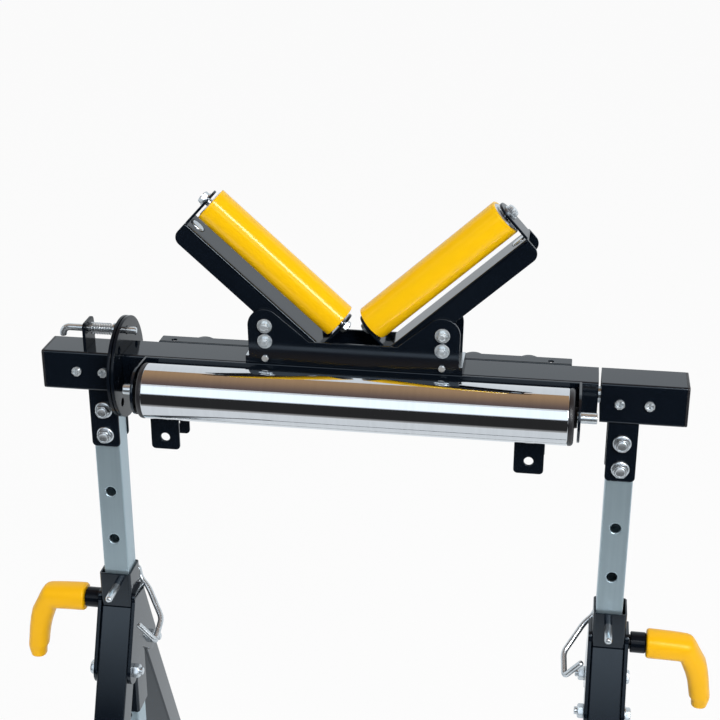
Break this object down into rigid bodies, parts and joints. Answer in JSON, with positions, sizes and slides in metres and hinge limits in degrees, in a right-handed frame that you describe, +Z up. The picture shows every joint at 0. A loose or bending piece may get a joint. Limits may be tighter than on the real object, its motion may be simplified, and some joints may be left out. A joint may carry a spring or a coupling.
{
  "type": "roller stand",
  "caption": "Folding steel work support: height-adjustable posts carry a turning head with V rollers, a flat roller, a row of ball transfers and drilled timber tabs.",
  "frame": {"origin": "floor level under the middle of the stand", "axes": "+X along the beam to the right of the picture, +Y to the back, +Z up"},
  "size_m": [0.7202, 0.5458, 0.9878],
  "materials": {
    "black_paint": "satin black powder coat",
    "zinc_tube": "bluish zinc plate",
    "bright_zinc": "bright zinc plate",
    "chrome": "polished chrome",
    "yellow_sleeve": "smooth yellow sleeve",
    "yellow_grip": "moulded yellow grip",
    "black_plastic": "moulded black plastic",
    "nylon": "natural nylon",
    "rubber": "black rubber"
  },
  "bodies": {
    "leg_brackets": {"left_leg_bracket": "black_paint", "right_leg_bracket": "black_paint", "left_front_pivot_bolt": "bright_zinc", "left_rear_pivot_bolt": "bright_zinc", "right_front_pivot_bolt": "bright_zinc", "right_rear_pivot_bolt": "bright_zinc"},
    "front_legs": {"left_front_leg": "black_paint", "right_front_leg": "black_paint", "left_front_foot": "rubber", "right_front_foot": "rubber", "front_crossbar": "black_paint"},
    "rear_legs": {"left_rear_leg": "black_paint", "right_rear_leg": "black_paint", "left_rear_foot": "rubber", "right_rear_foot": "rubber", "rear_crossbar": "black_paint"},
    "posts": {"left_post": "zinc_tube", "right_post": "zinc_tube", "left_post_bolt_upper": "bright_zinc", "left_post_bolt_lower": "bright_zinc", "right_post_bolt_upper": "bright_zinc", "right_post_bolt_lower": "bright_zinc", "left_end_stub": "black_paint", "right_end_stub": "black_paint", "left_end_cap": "black_plastic", "right_end_cap": "black_plastic", "left_bearing_block": "nylon", "right_bearing_block": "nylon", "plunger_spring": "bright_zinc"},
    "head": {"head_beam": "black_paint", "left_spindle": "bright_zinc", "right_spindle": "bright_zinc", "roller_carrier": "black_paint", "ball_carrier": "black_paint", "v_base": "black_paint", "left_v_channel": "black_paint", "right_v_channel": "black_paint", "roller_axle": "bright_zinc", "left_v_axle": "bright_zinc", "right_v_axle": "bright_zinc"},
    "plunger": {"plunger_pin": "bright_zinc"},
    "flat_roller": {"flat_roller": "chrome", "left_roller_cap": "black_plastic", "right_roller_cap": "black_plastic"},
    "left_v_roller": {"left_v_roller": "yellow_sleeve"},
    "right_v_roller": {"right_v_roller": "yellow_sleeve"},
    "ball_1": {"ball_1": "chrome"},
    "ball_2": {"ball_2": "chrome"},
    "ball_3": {"ball_3": "chrome"},
    "ball_4": {"ball_4": "chrome"},
    "ball_5": {"ball_5": "chrome"},
    "ball_6": {"ball_6": "chrome"},
    "ball_7": {"ball_7": "chrome"},
    "left_clamp": {"left_clamp_handle": "yellow_grip"},
    "left_pin": {"left_lock_pin": "bright_zinc"},
    "left_bail": {"left_bail": "bright_zinc"},
    "right_clamp": {"right_clamp_handle": "yellow_grip"},
    "right_pin": {"right_lock_pin": "bright_zinc"},
    "right_bail": {"right_bail": "bright_zinc"}
  },
  "joints": [
    {"name": "front_legs_fold", "type": "hinge", "parent": "leg_brackets", "child": "front_legs", "pos_m": [0, -0.033, 0.4735], "axis": [1, 0, 0], "range_deg": [0, 25]},
    {"name": "rear_legs_fold", "type": "hinge", "parent": "leg_brackets", "child": "rear_legs", "pos_m": [0, 0.033, 0.4735], "axis": [-1, 0, 0], "range_deg": [0, 25]},
    {"name": "height_slide", "type": "slide", "parent": "leg_brackets", "child": "posts", "axis": [0, 0, 1], "range_m": [-0.1084, 0.2168]},
    {"name": "head_turn", "type": "hinge", "parent": "posts", "child": "head", "pos_m": [0, 0, 0.806], "axis": [1, 0, 0], "continuous": true},
    {"name": "plunger_pull", "type": "slide", "parent": "posts", "child": "plunger", "axis": [-1, 0, 0], "range_m": [0, 0.012], "stiffness_N_per_m": 700, "springref_m": -0.008, "deforming": ["plunger_spring"]},
    {"name": "flat_roller_spin", "type": "hinge", "parent": "head", "child": "flat_roller", "pos_m": [0.00325, -0.052, 0.8045], "axis": [1, 0, 0], "continuous": true},
    {"name": "left_v_roller_spin", "type": "hinge", "parent": "head", "child": "left_v_roller", "pos_m": [-0.01825, 0, 0.8652], "axis": [-0.7408, 0, 0.6717], "continuous": true},
    {"name": "right_v_roller_spin", "type": "hinge", "parent": "head", "child": "right_v_roller", "pos_m": [0.01275, 0, 0.8652], "axis": [0.7408, 0, 0.6717], "continuous": true},
    {"name": "ball_1_roll", "type": "hinge", "parent": "head", "child": "ball_1", "pos_m": [-0.16155, 0.042, 0.806], "axis": [1, 0, 0], "continuous": true},
    {"name": "ball_2_roll", "type": "hinge", "parent": "head", "child": "ball_2", "pos_m": [-0.10795, 0.042, 0.806], "axis": [1, 0, 0], "continuous": true},
    {"name": "ball_3_roll", "type": "hinge", "parent": "head", "child": "ball_3", "pos_m": [-0.05435, 0.042, 0.806], "axis": [1, 0, 0], "continuous": true},
    {"name": "ball_4_roll", "type": "hinge", "parent": "head", "child": "ball_4", "pos_m": [-0.00075, 0.042, 0.806], "axis": [1, 0, 0], "continuous": true},
    {"name": "ball_5_roll", "type": "hinge", "parent": "head", "child": "ball_5", "pos_m": [0.05285, 0.042, 0.806], "axis": [1, 0, 0], "continuous": true},
    {"name": "ball_6_roll", "type": "hinge", "parent": "head", "child": "ball_6", "pos_m": [0.10645, 0.042, 0.806], "axis": [1, 0, 0], "continuous": true},
    {"name": "ball_7_roll", "type": "hinge", "parent": "head", "child": "ball_7", "pos_m": [0.16005, 0.042, 0.806], "axis": [1, 0, 0], "continuous": true},
    {"name": "left_clamp_turn", "type": "hinge", "parent": "leg_brackets", "child": "left_clamp", "pos_m": [-0.253, 0, 0.538], "axis": [-1, 0, 0], "range_deg": [0, 180]},
    {"name": "left_pin_pull", "type": "slide", "parent": "leg_brackets", "child": "left_pin", "axis": [0, 1, 0], "range_m": [0, 0.062]},
    {"name": "left_bail_swing", "type": "hinge", "parent": "left_pin", "child": "left_bail", "pos_m": [-0.2518, 0.0263, 0.5635], "axis": [1, 0, 0], "range_deg": [0, 140]},
    {"name": "right_clamp_turn", "type": "hinge", "parent": "leg_brackets", "child": "right_clamp", "pos_m": [0.253, 0, 0.538], "axis": [1, 0, 0], "range_deg": [0, 180]},
    {"name": "right_pin_pull", "type": "slide", "parent": "leg_brackets", "child": "right_pin", "axis": [0, 1, 0], "range_m": [0, 0.062]},
    {"name": "right_bail_swing", "type": "hinge", "parent": "right_pin", "child": "right_bail", "pos_m": [0.2518, 0.0263, 0.5635], "axis": [1, 0, 0], "range_deg": [0, 140]}
  ]
}
